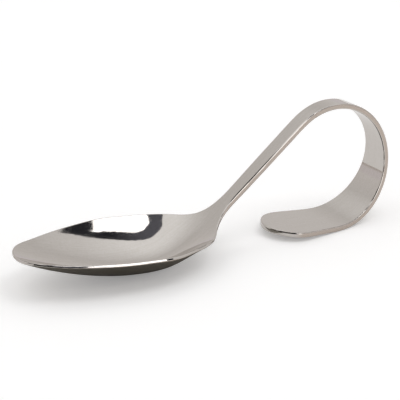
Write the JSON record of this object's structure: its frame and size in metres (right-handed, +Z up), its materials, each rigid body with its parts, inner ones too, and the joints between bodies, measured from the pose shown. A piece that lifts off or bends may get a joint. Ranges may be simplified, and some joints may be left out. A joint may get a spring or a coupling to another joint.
{
  "type": "curled handle soup spoon",
  "caption": "Short tasting spoon with a pointed oval bowl and a narrow handle that curls back in a loop to a broad foot, so that it stands or hangs by itself.",
  "frame": {"origin": "centre of the bounding box in X and Y, on the plane that the bowl and the loop rest on", "axes": "+X from the bowl's tip towards the loop, +Y across the spoon, +Z up as it stands on a table"},
  "size_m": [0.1374, 0.0406, 0.0428],
  "materials": {
    "steel": "polished to a soft mirror"
  },
  "bodies": {
    "root": {"spoon": "steel"}
  },
  "joints": []
}
